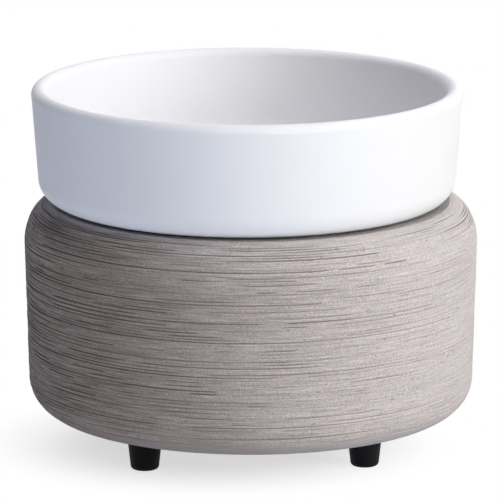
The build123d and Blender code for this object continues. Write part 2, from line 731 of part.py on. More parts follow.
# Base pan: a moulded tray with a locating wall, ribs, screw towers, foot pockets and vents
with BuildPart() as base_pan:
    with BuildSketch(Plane.XY.offset(pan_underside)):
        Circle(pan_radius)
    extrude(amount=pan_floor_thickness)
    fillet(base_pan.faces().sort_by(Axis.Z)[0].edges(), pan_edge_round)
    with BuildSketch(Plane.XY.offset(pan_top)):
        Circle(pan_wall_radius)
        Circle(pan_wall_inner_radius, mode=Mode.SUBTRACT)
    extrude(amount=pan_wall_height)
    # Ribs, hub and the post for the terminal block
    rib_inner = pan_hub_radius - pan_rib_thickness
    rib_reach = pan_wall_inner_radius + pan_wall_thickness / 2
    with BuildSketch(Plane.XY.offset(pan_top)):
        Circle(pan_hub_radius)
        Circle(rib_inner, mode=Mode.SUBTRACT)
        with PolarLocations((rib_inner + rib_reach) / 2, pan_sector_count, pillar_start_angle):
            Rectangle(rib_reach - rib_inner, pan_rib_thickness)
        with Locations((0, block_centre_y)):
            Circle(pan_post_radius)
    extrude(amount=pan_rib_height)
    # Bosses and pockets for the feet
    with BuildSketch(Plane.XY.offset(pan_top)):
        with PolarLocations(foot_ring, support_count, foot_start_angle):
            Circle(foot_boss_radius)
    extrude(amount=foot_boss_height)
    with BuildSketch(Plane.XY.offset(foot_boss_top)):
        with PolarLocations(foot_ring, support_count, foot_start_angle):
            Circle(foot_barb_radius + hand_gap)
    extrude(amount=pan_rib_height, mode=Mode.SUBTRACT)
    with BuildSketch(Plane.XY.offset(pan_underside)):
        with PolarLocations(foot_ring, support_count, foot_start_angle):
            Circle(foot_top_radius + hand_gap)
    extrude(amount=foot_pocket_depth, mode=Mode.SUBTRACT)
    with BuildSketch(Plane.XY.offset(foot_seat)):
        with PolarLocations(foot_ring, support_count, foot_start_angle):
            Circle(foot_neck_radius + close_gap)
    extrude(amount=foot_boss_top - foot_seat, mode=Mode.SUBTRACT)
    # Towers with a counterbore and a hole for each screw
    with BuildSketch(Plane.XY.offset(pan_top)):
        with PolarLocations(pillar_ring, support_count, pillar_start_angle):
            Circle(pan_tower_radius)
    extrude(amount=pan_tower_height)
    with BuildSketch(Plane.XY.offset(pan_underside)):
        with PolarLocations(pillar_ring, support_count, pillar_start_angle):
            Circle(screw_head_radius + hand_gap)
    extrude(amount=screw_seat - pan_underside, mode=Mode.SUBTRACT)
    with BuildSketch(Plane.XY.offset(screw_seat)):
        with PolarLocations(pillar_ring, support_count, pillar_start_angle):
            Circle(screw_radius + close_gap)
    extrude(amount=screw_seat_thickness, mode=Mode.SUBTRACT)
    # Pilot hole for the block's screw
    with BuildSketch(Plane.XY.offset(block_base)):
        with Locations((0, block_centre_y)):
            Circle(block_screw_radius + close_gap)
    extrude(amount=-block_screw_depth - close_gap, mode=Mode.SUBTRACT)
    # Vents, in rows of arcs between the ribs
    with BuildSketch(Plane.XY.offset(pan_underside)):
        for row in range(vent_row_count):
            vent_radius = vent_first_radius + row * vent_pitch
            end_margin = pan_rib_thickness / 2 + vent_end_clearance + vent_width / 2
            half_vent_turn = full_turn / pan_sector_count / 2 - degrees(end_margin / vent_radius)
            vent_arc = CenterArc((0, 0), vent_radius, -half_vent_turn, 2 * half_vent_turn)
            with PolarLocations(0, pan_sector_count):
                SlotArc(vent_arc, vent_width)
    extrude(amount=pan_floor_thickness, mode=Mode.SUBTRACT)
base_pan.part.label = "base_pan"
export_step(base_pan.part, "parts/base_pan.step")


# Gasket between the pan's floor and the ceramic ledge
with BuildPart() as base_gasket:
    with BuildSketch(Plane.XY.offset(pan_top)):
        Circle(pan_radius)
        Circle(pan_opening_radius + hand_gap, mode=Mode.SUBTRACT)
    extrude(amount=gasket_thickness)
base_gasket.part.label = "base_gasket"
export_step(base_gasket.part, "parts/base_gasket.step")


# Feet: tapered rubber plugs, each held by a barb through the pan
for foot, foot_name in enumerate(foot_names):
    foot_place = on_circle(foot_ring, foot_start_angle + foot * full_turn / support_count)
    with BuildPart() as rubber_foot:
        with BuildSketch(upright_plane(foot_place.X, foot_place.Y)):
            with BuildLine():
                sole = FilletPolyline(
                    (0, 0),
                    (foot_bottom_radius, 0),
                    (foot_top_radius, foot_seat),
                    radius=foot_edge_round,
                )
                Polyline(
                    sole @ 1,
                    (foot_neck_radius, foot_seat),
                    (foot_neck_radius, foot_boss_top),
                    (foot_barb_radius, foot_boss_top),
                    (foot_barb_tip_radius, foot_boss_top + foot_barb_height),
                    (0, foot_boss_top + foot_barb_height),
                    sole @ 0,
                )
            make_face()
        revolve(axis=upright_axis(foot_place.X, foot_place.Y))
    rubber_foot.part.label = foot_name
    export_step(rubber_foot.part, f"parts/{foot_name}.step")


# Terminal block: a moulded body with four screw towers over two brass sleeves
block_rear_y = block_centre_y + block_length / 2
block_front_y = block_centre_y - block_length / 2
sleeve_length = block_length - 2 * sleeve_end_inset
rear_plane = Plane(origin=(0, block_rear_y, sleeve_level), x_dir=(1, 0, 0), z_dir=(0, 1, 0))

with BuildPart() as terminal_block:
    with BuildSketch(Plane((0, block_centre_y, block_base))):
        Rectangle(block_width, block_length)
    extrude(amount=block_deck_height)
    fillet(terminal_block.edges().filter_by(Axis.Z), block_edge_round)
    with BuildSketch(Plane((0, block_centre_y, block_base + block_deck_height))):
        with terminal_places():
            Circle(block_tower_radius)
    extrude(amount=block_height - block_deck_height)
    with BuildSketch(rear_plane):
        with GridLocations(block_pole_spacing, 0, block_pole_count, 1):
            Circle(sleeve_radius + close_gap)
    extrude(amount=-block_length, mode=Mode.SUBTRACT)
    well_level = block_base + block_height - block_well_depth
    with BuildSketch(Plane((0, block_centre_y, well_level))):
        with terminal_places():
            Circle(block_well_radius)
    extrude(amount=block_well_depth, mode=Mode.SUBTRACT)
    with BuildSketch(Plane((0, block_centre_y, sleeve_level))):
        with terminal_places():
            Circle(terminal_screw_radius + close_gap)
    extrude(amount=well_level - sleeve_level, mode=Mode.SUBTRACT)
    with BuildSketch(Plane((0, block_centre_y, block_base))):
        Circle(block_screw_radius + close_gap)
    extrude(amount=block_deck_height, mode=Mode.SUBTRACT)
terminal_block.part.label = "terminal_block"
export_step(terminal_block.part, "parts/terminal_block.step")

with BuildPart() as terminal_sleeves:
    with BuildSketch(rear_plane.offset(-sleeve_end_inset)):
        with GridLocations(block_pole_spacing, 0, block_pole_count, 1):
            Circle(sleeve_radius)
            Circle(sleeve_bore_radius, mode=Mode.SUBTRACT)
    extrude(amount=-sleeve_length)
    with BuildSketch(Plane((0, block_centre_y, sleeve_level))):
        with terminal_places():
            Circle(terminal_screw_radius + close_gap)
    extrude(amount=sleeve_radius, mode=Mode.SUBTRACT)
terminal_sleeves.part.label = "terminal_sleeves"
export_step(terminal_sleeves.part, "parts/terminal_sleeves.step")

with BuildPart() as terminal_screws:
    with BuildSketch(Plane((0, block_centre_y, well_level))):
        with terminal_places():
            Circle(block_well_radius - close_gap)
    extrude(amount=terminal_screw_head_height)
    screw_tip = sleeve_level + lead_radius + close_gap
    with BuildSketch(Plane((0, block_centre_y, screw_tip))):
        with terminal_places():
            Circle(terminal_screw_radius)
    extrude(amount=well_level - screw_tip)
terminal_screws.part.label = "terminal_screws"
export_step(terminal_screws.part, "parts/terminal_screws.step")

with BuildPart() as block_screw:
    deck_level = block_base + block_deck_height
    with BuildSketch(Plane((0, block_centre_y, deck_level))):
        Circle(block_screw_head_radius)
    extrude(amount=block_screw_head_height)
    with BuildSketch(Plane((0, block_centre_y, deck_level))):
        Circle(block_screw_radius)
    extrude(amount=-block_deck_height - block_screw_depth)
block_screw.part.label = "block_screw"
export_step(block_screw.part, "parts/block_screw.step")


# Inner leads, from the block's front up to the crimp and the splice
lead_start_y = block_centre_y - block_screw_spacing / 2 + lead_insertion
for lead_name, side, lead_end in [("live_lead", 1, live_end), ("neutral_lead", -1, neutral_end)]:
    lead_x = side * block_pole_spacing / 2
    exit_point = Vector(lead_x, block_front_y - lead_exit_run, sleeve_level)
    top_point = lead_end - Vector(0, 0, lead_top_run)
    reach = top_point - exit_point
    way_points = [
        exit_point + Vector(reach.X * across, reach.Y * across, reach.Z * up)
        for across, up in lead_way_shares
    ]
    points = [Vector(lead_x, lead_start_y, sleeve_level), exit_point, *way_points, top_point, lead_end]
    runs = [end - start for start, end in zip(points, points[1:])]
    bend_radii = [
        lead_bend_share * min(run.length, after.length) / tan(radians(run.get_angle(after) / 2))
        for run, after in zip(runs, runs[1:])
    ]
    with BuildPart() as lead:
        with BuildLine() as route:
            FilletPolyline(*points, radius=bend_radii)
        with BuildSketch(Plane(origin=route.line @ 0, z_dir=route.line % 0)):
            Circle(lead_radius)
        sweep(path=route.line)
    lead.part.label = lead_name
    export_step(lead.part, f"parts/{lead_name}.step")
    expected_volume = pi * lead_radius**2 * route.wire().length
    print(lead_name, "bend radii", [round(bend_radius, 1) for bend_radius in bend_radii])
    print(lead_name, "volume over section times length", round(lead.part.volume / expected_volume, 4))

print("inlet bore from", round(grommet_end_y, 3), "to", round(grommet_face_y, 3))
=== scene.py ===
import json
import math

import bmesh
import bpy
import numpy as np
from mathutils import Matrix, Vector


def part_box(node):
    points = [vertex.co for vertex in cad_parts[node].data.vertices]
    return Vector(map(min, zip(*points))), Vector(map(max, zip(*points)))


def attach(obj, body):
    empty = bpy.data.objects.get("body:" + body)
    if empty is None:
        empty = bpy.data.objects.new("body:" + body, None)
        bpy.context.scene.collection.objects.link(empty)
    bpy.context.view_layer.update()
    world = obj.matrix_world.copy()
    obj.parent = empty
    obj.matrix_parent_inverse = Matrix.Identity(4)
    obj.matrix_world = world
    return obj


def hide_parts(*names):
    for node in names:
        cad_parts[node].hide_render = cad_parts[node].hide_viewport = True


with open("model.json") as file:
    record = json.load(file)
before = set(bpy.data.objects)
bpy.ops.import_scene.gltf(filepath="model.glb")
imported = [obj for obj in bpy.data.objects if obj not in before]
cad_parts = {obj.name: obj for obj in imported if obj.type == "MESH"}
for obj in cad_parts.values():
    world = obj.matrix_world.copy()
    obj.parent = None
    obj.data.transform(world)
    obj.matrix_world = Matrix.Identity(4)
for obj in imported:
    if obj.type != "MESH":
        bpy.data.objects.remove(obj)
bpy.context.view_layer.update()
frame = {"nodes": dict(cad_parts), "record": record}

# Looks of the wax melt warmer, in metres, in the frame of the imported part
nodes = frame["nodes"]

MM = 0.001
FULL_TURN = 2 * math.pi
WHITE = (1, 1, 1, 1)

# Sizes of the body, as in the CAD shell: the outside, the recess, the room inside and the pan's opening
body_underside, body_top = (corner[2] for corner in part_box("body_shell"))
heel_start, heel_radius = 53.6 * MM, 10.4 * MM
body_radius = 65.0 * MM
shoulder_start, shoulder_width, shoulder_height = 57.0 * MM, 8.0 * MM, 11.5 * MM
recess_radius, ledge_level = 51.0 * MM, 69.0 * MM
top_opening_radius, inner_top_level = 45.0 * MM, 64.5 * MM
inner_wall_top, inner_wall_bottom, inner_floor_level = 60.5 * MM, 59.5 * MM, 20.3 * MM
pan_opening_radius, pan_ledge_level, pan_recess_radius = 46.5 * MM, 16.3 * MM, 50.0 * MM
edge_round, inner_round = 0.5 * MM, 5 * MM
inlet_bore_radius, inlet_spot_radius, inlet_spot_depth = 6.0 * MM, 8.3 * MM, 1.5 * MM

# Combing, along the profile from the underside up: where it starts and how far from the end it stops
comb_start, comb_end = 9.6 * MM, 3.6 * MM
second_track = 2.6 * MM
track_steps, track_step_odds = (0.80, 0.95, 1.2, 1.6), (0.36, 0.32, 0.2, 0.12)
track_room = 1.65 * MM
track_waves, track_wave_odds = (6, 11, 18), (0.3, 0.4, 0.3)
groove_depth = 0.24 * MM
groove_half_widths = (0.20, 0.31)
stroke_half_width, shoulder_half_width = 0.27 * MM, 0.29 * MM
stroke_fade, nick_fade = 1.0 * MM, 1.2 * MM
nick_half_lengths, nick_strengths = (2.5, 9), (0.7, 1.25)
inner_track_count, inner_track_step = 2, 0.85 * MM
sway_size, wobble_size = 0.10 * MM, 0.035 * MM
hand_wave_step, hand_wave_size = 0.9 * MM, 0.04 * MM
swell_step, swell_size = 5 * MM, 0.03 * MM
# How the hand's force goes round the body: its middle, its swing and the degrees where it is strongest
force_middle, force_swing, force_turn = 0.69, 0.44, 178
# How far the worked face lies below the plain one, and where it is plain: at the foot and at the top
face_sink, least_sink = 0.10 * MM, 0.03 * MM
edge_plain, edge_fade = 3.0 * MM, 4 * MM
top_plain, top_fade = 1.0 * MM, 2 * MM
# The shoulder's painted shade, a darker colour beside the dish: where it starts, from the end, over what
# length it grows, and how far round it goes
painted_shade_start, painted_shade_growth, painted_shade_reach = 6.5 * MM, 3.3 * MM, 0.45
column_count = 220
heel_rows, top_rows, row_margin = 26, 22, 0.6 * MM
# Rows of points across a groove: place in half widths, and depth as a share of the groove's
groove_shares = ((-1, -0.22), (-0.45, 0.6), (0, 1), (0.45, 0.6), (1, -0.22))
# The last tracks, round the shoulder: their strength, and the turns, widths and amounts of what adds to it
shoulder_share = np.array([0.6, 0.85, 0.7, 1.0, 0.9, 0.8])
shoulder_presses = ((272, 0.42, 1.0), (5, 0.40, 1.1), (200, 0.45, 0.6))
# Dark strokes that stand out in the photograph: middle and length in its pixels, and strength
comb_marks = (
    (364, 256, 36, 1.0),
    (398, 262, 22, 1.0),
    (358, 269, 40, 0.7),
    (265, 275, 130, 0.75),
    (322, 324, 66, 0.75),
    (278, 352, 40, 0.55),
    (278, 363, 30, 0.9),
    (228, 346, 56, 0.7),
    (168, 389, 94, 0.9),
    (220, 305, 90, 0.6),
    (52, 272, 30, 1.0),
    (85, 259, 100, 1.0),
    (165, 271, 130, 0.7),
)

# Colours of the stoneware
slip_dark, slip_light = (0.655, 0.612, 0.600), (0.715, 0.668, 0.655)
# Darker clay in the grooves, with painted shade, and a painted highlight on their lips
groove_clay_and_shade, painted_lip_highlight = (0.19, 0.135, 0.13), (0.84, 0.81, 0.79)
speck_white, nick_clay = (0.92, 0.90, 0.88), (0.26, 0.205, 0.195)
# Painted reflection of the floor on the band round the foot
floor_reflection_tint = (0.62, 0.60, 0.655)


# Node helpers
class Nodes:
    """A node tree that is put together node by node."""

    def __init__(self, owner):
        owner.use_nodes = True
        self.tree = owner.node_tree
        self.tree.nodes.clear()

    def node(self, kind, inputs=(), **settings):
        made = self.tree.nodes.new(kind)
        for key, value in settings.items():
            setattr(made, key, value)
        for key, value in dict(inputs).items():
            self.feed(made.inputs[key], value)
        return made

    def feed(self, socket, value):
        if isinstance(value, bpy.types.NodeSocket):
            self.tree.links.new(value, socket)
        else:
            socket.default_value = value

    def math(self, operation, first, second=0.0):
        return self.node("ShaderNodeMath", {0: first, 1: second}, operation=operation).outputs[0]

    def object_place(self):
        return self.node("ShaderNodeTexCoord").outputs["Object"]

    def length(self, vector):
        return self.node("ShaderNodeVectorMath", {0: vector}, operation="LENGTH").outputs["Value"]

    def seen(self):
        """1 for rays from the camera, from a gloss or through glass, and otherwise 0."""
        path = self.node("ShaderNodeLightPath").outputs
        plain = self.math("MAXIMUM", path["Is Camera Ray"], path["Is Glossy Ray"])
        return self.math("MAXIMUM", plain, path["Is Transmission Ray"])

    def either(self, share, first, second):
        """Mix of two shaders."""
        return self.node("ShaderNodeMixShader", {0: share, 1: first, 2: second}).outputs[0]


class Shader(Nodes):
    """A Principled material. Noise stays near a half, so it is spread by how far it reaches from there."""

    def __init__(self, name, roughness=0.5, metallic=0.0, specular=0.5):
        self.material = bpy.data.materials.new(name)
        super().__init__(self.material)
        self.surface = self.node("ShaderNodeBsdfPrincipled")
        self.node("ShaderNodeOutputMaterial", {"Surface": self.surface.outputs["BSDF"]})
        self.set("Roughness", roughness)
        self.set("Metallic", metallic)
        self.set("Specular IOR Level", specular)
        self.place = self.object_place()

    def set(self, socket, value):
        self.feed(self.surface.inputs[socket], value)

    def stretched(self, x, y, z):
        """Object coordinates scaled along each axis."""
        found = self.node("ShaderNodeVectorMath", {0: self.place, 1: (x, y, z)}, operation="MULTIPLY")
        return found.outputs["Vector"]

    def noise(self, vector, scale=1.0, detail=2.0, roughness=0.5, distortion=0.0):
        inputs = {
            "Vector": vector,
            "Scale": scale,
            "Detail": detail,
            "Roughness": roughness,
            "Distortion": distortion,
        }
        return self.node("ShaderNodeTexNoise", inputs).outputs["Fac"]

    def range(self, value, from_low, from_high, to_low=0.0, to_high=1.0):
        inputs = {"Value": value, 1: from_low, 2: from_high, 3: to_low, 4: to_high}
        return self.node("ShaderNodeMapRange", inputs, clamp=True).outputs["Result"]

    def spread(self, noise, to_low=0.0, to_high=1.0, reach=0.2):
        return self.range(noise, 0.5 - reach, 0.5 + reach, to_low, to_high)

    def swing(self, noise, size):
        """Noise about 0, of this size."""
        return self.math("MULTIPLY", self.math("SUBTRACT", noise, 0.5), size)

    def total(self, first, *others):
        for other in others:
            first = self.math("ADD", first, other)
        return first

    def mix(self, share, first, second):
        """Colour mix. The colours are sockets or triples."""
        found = self.node("ShaderNodeMix", data_type="RGBA")
        self.feed(found.inputs[0], share)
        for index, colour in ((6, first), (7, second)):
            flat = colour if isinstance(colour, bpy.types.NodeSocket) else (*colour, 1.0)
            self.feed(found.inputs[index], flat)
        return found.outputs[2]

    def scaled(self, colour, share):
        """The colour, made lighter or darker."""
        found = self.node("ShaderNodeVectorMath", {0: colour, "Scale": share}, operation="SCALE")
        return found.outputs["Vector"]

    def tint(self, noise, low, high, reach=0.2):
        """Base colour between two, by noise."""
        self.set("Base Color", self.mix(self.spread(noise, reach=reach), low, high))

    def attribute(self, name):
        return self.node("ShaderNodeAttribute", attribute_name=name).outputs["Fac"]

    def bump(self, height, distance, strength=1.0):
        found = self.node("ShaderNodeBump", {"Height": height, "Distance": distance, "Strength": strength})
        self.set("Normal", found.outputs["Normal"])


def combed_stoneware(name):
    """Sandy taupe slip, darker where the comb has cut, partly its clay and partly painted shade, with
    specks and a few pits.
    """
    s = Shader(name, roughness=0.9, specular=0.2)
    cut = s.attribute("comb_cut")
    place = s.attribute("comb_place")
    # Coordinates that follow the comb: round the body, and along its profile
    flat = s.stretched(1, 1, 0)
    round_body = s.node("ShaderNodeVectorMath", {0: flat}, operation="NORMALIZE").outputs["Vector"]
    apart = s.node("ShaderNodeSeparateXYZ", {0: round_body}).outputs

    def combed(across, along):
        parts = {
            "X": s.math("MULTIPLY", apart["X"], across),
            "Y": s.math("MULTIPLY", apart["Y"], across),
            "Z": s.math("MULTIPLY", place, along),
        }
        return s.node("ShaderNodeCombineXYZ", parts).outputs["Vector"]

    cloud = s.noise(s.stretched(22, 22, 50), detail=3)
    streak = s.noise(combed(3.2, 1500), detail=3, roughness=0.6)
    fine_streak = s.noise(combed(7, 3000), detail=2, roughness=0.6)
    grain = s.noise(s.place, scale=1750, detail=2, roughness=0.7)
    sand = s.noise(s.place, scale=3300, detail=1, roughness=0.5)
    speck = s.noise(s.place, scale=900, detail=1, roughness=0.5)
    nick = s.noise(combed(26, 1700), detail=1)
    body = s.mix(s.spread(cloud), slip_dark, slip_light)
    # The hand pressed harder on one side of the body, so the combing shows more there
    force = s.range(apart["X"], -1, 1, 1.05, 0.2)
    lines = s.math("MULTIPLY", s.total(s.swing(streak, 1.0), s.swing(fine_streak, 1.25)), force)
    body = s.scaled(body, s.total(lines, s.swing(grain, 0.7), s.swing(sand, 0.75), 1.0))
    body = s.mix(s.range(speck, 0.70, 0.76, 0, 0.75), body, speck_white)
    # Darker in the grooves: partly the clay's own colour, partly painted shade
    torn_clay_and_shade = s.math("MULTIPLY", s.range(cut, 0.05, 0.5), s.range(grain, 0.3, 0.55, 0.6, 1.0))
    body = s.mix(s.math("MULTIPLY", torn_clay_and_shade, 0.76), body, groove_clay_and_shade)
    # Painted highlight on the raised lips of the grooves
    body = s.mix(s.range(cut, -0.02, -0.2, 0, 0.4), body, painted_lip_highlight)
    body = s.mix(s.range(nick, 0.27, 0.23, 0, 0.6), body, nick_clay)
    # Painted reflection of the floor: the smooth band round the foot of the body is a shade cooler
    painted_reflection_band = s.range(place, comb_start - 1 * MM, comb_start, 1, 0)
    body = s.mix(s.math("MULTIPLY", painted_reflection_band, 0.6), body, floor_reflection_tint)
    # Painted shade: the shoulder is darker towards the dish, but for its right side
    body = s.scaled(body, s.range(s.attribute("painted_shoulder_shade"), 0, 1, 1.0, 0.82))
    s.set("Base Color", body)
    relief = s.total(
        s.math("MULTIPLY", s.range(streak, 0.25, 0.65), 0.8),
        s.math("MULTIPLY", s.range(fine_streak, 0.25, 0.65), 0.5),
        s.math("MULTIPLY", grain, 0.9),
        s.math("MULTIPLY", sand, 0.4),
        s.range(nick, 0.22, 0.28, -0.6, 0),
    )
    s.bump(relief, 0.22 * MM)
    return s.material


def glazed_white(name):
    """Satin white glaze with the faint ripple of a poured coat."""
    s = Shader(name, specular=0.1)
    pool = s.noise(s.stretched(22, 22, 34), detail=2)
    s.tint(pool, (0.885, 0.893, 0.905), (0.915, 0.922, 0.932))
    s.set("Roughness", s.spread(s.noise(s.place, scale=160, detail=2), 0.42, 0.50))
    s.bump(s.noise(s.stretched(70, 70, 90), detail=1), 0.2 * MM, 0.35)
    return s.material


def moulded(name, low, high, roughness, grain_scale, depth, specular=0.5):
    """Moulded plastic or rubber: fine grain in colour, gloss and relief."""
    s = Shader(name, specular=specular)
    broad = s.noise(s.place, scale=60, detail=2)
    grain = s.noise(s.place, scale=grain_scale, detail=2, roughness=0.6)
    s.tint(broad, low, high)
    s.set("Roughness", s.spread(grain, roughness - 0.06, roughness + 0.06))
    s.bump(grain, depth, 0.5)
    return s.material


def metal(name, low, high, roughness, stretch):
    """Bare or plated metal with drawn or rolled lines along the less stretched axes."""
    s = Shader(name, metallic=1.0)
    lines = s.noise(s.stretched(*stretch), detail=3, roughness=0.6)
    bloom = s.noise(s.place, scale=220, detail=3)
    s.tint(bloom, low, high, reach=0.15)
    s.set("Roughness", s.spread(lines, roughness - 0.07, roughness + 0.09))
    s.bump(lines, 0.02 * MM, 0.5)
    return s.material


def turned_metal(name, low, high, roughness):
    """Metal faced in a lathe: fine rings round the vertical axis."""
    s = Shader(name, metallic=1.0)
    radius = s.length(s.stretched(1, 1, 0))
    ring_inputs = {"W": radius, "Scale": 2600.0, "Detail": 3.0}
    rings = s.node("ShaderNodeTexNoise", ring_inputs, noise_dimensions="1D").outputs["Fac"]
    heat = s.noise(s.place, scale=45, detail=3)
    s.tint(heat, low, high)
    s.set("Roughness", s.spread(rings, roughness - 0.06, roughness + 0.10))
    s.set("Anisotropic", 0.5)
    s.bump(rings, 0.03 * MM, 0.6)
    return s.material


def mica(name):
    """Pressed mica: amber sheet with pale flakes."""
    s = Shader(name, specular=0.6)
    flakes = s.node("ShaderNodeTexVoronoi", {"Vector": s.place, "Scale": 420.0}).outputs["Distance"]
    tone = s.noise(s.place, scale=150, detail=4, roughness=0.7)
    base = s.mix(s.spread(tone), (0.40, 0.31, 0.20), (0.62, 0.52, 0.38))
    s.set("Base Color", s.mix(s.range(flakes, 0.1, 0.5, 0.35, 0), base, (0.74, 0.68, 0.55)))
    s.set("Roughness", s.spread(tone, 0.25, 0.5))
    s.bump(flakes, 0.04 * MM, 0.5)
    return s.material


def fibrous(name, low, high, scale, depth, sheen=0.0):
    """Pressed or needled fibre."""
    s = Shader(name, roughness=0.95, specular=0.2)
    fibres = s.noise(s.place, scale=scale, detail=5, roughness=0.75, distortion=1.5)
    s.tint(fibres, low, high, reach=0.18)
    s.set("Sheen Weight", sheen)
    s.bump(fibres, depth, 0.9)
    return s.material


recipes = {
    "combed_stoneware": (combed_stoneware,),
    "glazed_white": (glazed_white,),
    "black_resin": (moulded, (0.020, 0.019, 0.019), (0.030, 0.029, 0.029), 0.52, 2200, 0.06 * MM),
    "black_rubber": (moulded, (0.004, 0.004, 0.006), (0.006, 0.006, 0.009), 0.6, 1600, 0.04 * MM, 0.12),
    "silicone": (moulded, (0.58, 0.57, 0.54), (0.66, 0.65, 0.62), 0.42, 900, 0.03 * MM),
    "plate_aluminium": (turned_metal, (0.44, 0.44, 0.45), (0.53, 0.53, 0.54), 0.38),
    "mica": (mica,),
    "fibre_card": (fibrous, (0.68, 0.63, 0.54), (0.84, 0.80, 0.72), 700, 0.05 * MM),
    "insulation_fibre": (fibrous, (0.78, 0.77, 0.72), (0.93, 0.92, 0.89), 900, 0.25 * MM, 0.3),
    "resistance_alloy": (metal, (0.38, 0.35, 0.32), (0.52, 0.50, 0.48), 0.36, (300, 300, 60)),
    "plated_steel": (metal, (0.56, 0.56, 0.54), (0.68, 0.68, 0.67), 0.32, (90, 900, 900)),
    "brass": (metal, (0.66, 0.49, 0.20), (0.78, 0.62, 0.32), 0.26, (1500, 80, 1500)),
    "fuse_case": (metal, (0.62, 0.57, 0.44), (0.72, 0.68, 0.56), 0.33, (700, 700, 700)),
    "tinned_copper": (metal, (0.60, 0.58, 0.56), (0.72, 0.71, 0.70), 0.36, (600, 600, 600)),
    "natural_nylon": (moulded, (0.76, 0.73, 0.64), (0.84, 0.82, 0.75), 0.4, 1200, 0.04 * MM),
    "black_lead": (moulded, (0.022, 0.022, 0.023), (0.036, 0.036, 0.037), 0.42, 1500, 0.03 * MM),
    "white_lead": (moulded, (0.78, 0.78, 0.75), (0.86, 0.86, 0.84), 0.42, 1500, 0.03 * MM),
}
materials = {name: make(name, *values) for name, (make, *values) in recipes.items()}
for row in frame["record"]["subparts"]:
    for material_slot in nodes[row["node"]].material_slots:
        material_slot.material = materials[row["material_slot"]]


# Objects
def placed(name, data):
    """A new object in the scene."""
    made = bpy.data.objects.new(name, data)
    bpy.context.scene.collection.objects.link(made)
    return made


def stand_off(thing, centre, direction, distance):
    """Put a camera or lamp at this distance from the centre, facing it."""
    thing.location = centre + direction * distance
    thing.rotation_mode = "QUATERNION"
    thing.rotation_quaternion = (-direction).to_track_quat("-Z", "Y")


def smooth(mesh):
    mesh.polygons.foreach_set("use_smooth", np.ones(len(mesh.polygons), bool))


# Camera, fitted to the photograph's outlines
camera_distance = 1.5639
camera_elevation = math.radians(12.474)
camera_yaw = math.radians(3.6)
aim_right, aim_level = -0.25 * MM, 59.55 * MM
right = Vector((math.cos(camera_yaw), -math.sin(camera_yaw), 0))
forward = Vector((math.sin(camera_yaw), math.cos(camera_yaw), 0))
target = right * aim_right + Vector((0, 0, aim_level))
back = forward * -math.cos(camera_elevation) + Vector((0, 0, math.sin(camera_elevation)))
camera_data = bpy.data.cameras.new("camera")
camera_data.lens = 391.9
camera_data.sensor_width = 36.0
camera_data.clip_start = 0.05
camera_data.clip_end = 50.0
camera = placed("camera", camera_data)
stand_off(camera, target, back, camera_distance)
bpy.context.scene.camera = camera


# Combed body, turned from the same profile as the CAD shell
def arc_points(centre, radii, start, end, count):
    turns = np.radians(np.linspace(start, end, count))
    return [(centre[0] + radii[0] * math.cos(t), centre[1] + radii[1] * math.sin(t)) for t in turns]


def round_points(radius, level, size, start, end, count):
    """A rounded edge or corner: its centre, its radius and its two turns."""
    return arc_points((radius, level), (size, size), start, end, count)


upper_round = (inner_wall_top - inner_round, inner_top_level - inner_round)
lower_round = (inner_wall_bottom - inner_round, inner_floor_level + inner_round)
outer_line = [
    *round_points(heel_start, body_underside + heel_radius, heel_radius, -90, 0, 60),
    *arc_points((shoulder_start, body_top - shoulder_height), (shoulder_width, shoulder_height), 0, 90, 60),
]
inner_line = [
    *round_points(recess_radius + edge_round, body_top - edge_round, edge_round, 90, 180, 4),
    (recess_radius, ledge_level),
    (top_opening_radius, ledge_level),
    (top_opening_radius, inner_top_level),
    (upper_round[0], inner_top_level),
    *round_points(*upper_round, inner_round, 75, 15, 3),
    (inner_wall_top, upper_round[1]),
    (inner_wall_bottom, lower_round[1]),
    *round_points(*lower_round, inner_round, -15, -75, 3),
    (lower_round[0], inner_floor_level),
    (pan_opening_radius, inner_floor_level),
    (pan_opening_radius, pan_ledge_level),
    (pan_recess_radius, pan_ledge_level),
    *round_points(pan_recess_radius + edge_round, body_underside + edge_round, edge_round, 180, 270, 4),
]


def rounded_noise(rng, count, waves, columns):
    """Smooth noise round the body, one line each: about 0, with a spread of about 1."""
    turns = np.linspace(0, FULL_TURN, columns, endpoint=False)
    orders = np.arange(1, waves + 1)
    size = rng.normal(size=(count, waves)) * orders**-0.25
    phase = rng.uniform(0, FULL_TURN, size=(count, waves))
    found = np.zeros((count, columns))
    for order in orders:
        found += size[:, order - 1, None] * np.cos(order * turns[None, :] + phase[:, order - 1, None])
    return found / np.std(found, axis=1, keepdims=True)


def on_wall(x, y):
    """Turn and level where a pixel of the photograph, 500 by 500, meets the body's wall."""
    photo_half = 250
    focal = camera_data.lens / camera_data.sensor_width * 2 * photo_half
    ray = -back + right * ((x - photo_half) / focal) + back.cross(right) * ((photo_half - y) / focal)
    start = camera.location
    square, middle = ray.xy.dot(ray.xy), ray.xy.dot(start.xy)
    outside = start.xy.dot(start.xy) - body_radius**2
    reach = (-middle - math.sqrt(middle**2 - square * outside)) / square
    point = start + ray * reach
    return math.atan2(point.y, point.x), point.z


def turns_apart(turns, middle):
    return np.abs((turns - middle + math.pi) % FULL_TURN - math.pi)


def press(turns, degrees, width):
    """A soft hump round the body, 1 at these degrees."""
    return np.exp(-((turns_apart(turns, math.radians(degrees)) / width) ** 2))


def stroke(turns, middle, half, fade):
    """1 along a stroke, and down to 0 at its two ends over the length of the fade."""
    return np.clip((half - turns_apart(turns, middle)) / (fade / body_radius), 0, 1)


def comb_tracks(rng, length):
    """Places along the profile, in metres, where a tooth of the comb has run."""
    tracks = [comb_start, comb_start + second_track]
    while tracks[-1] < length - comb_end - track_room:
        tracks.append(tracks[-1] + rng.choice(track_steps, p=track_step_odds) * MM)
    return np.array(tracks)


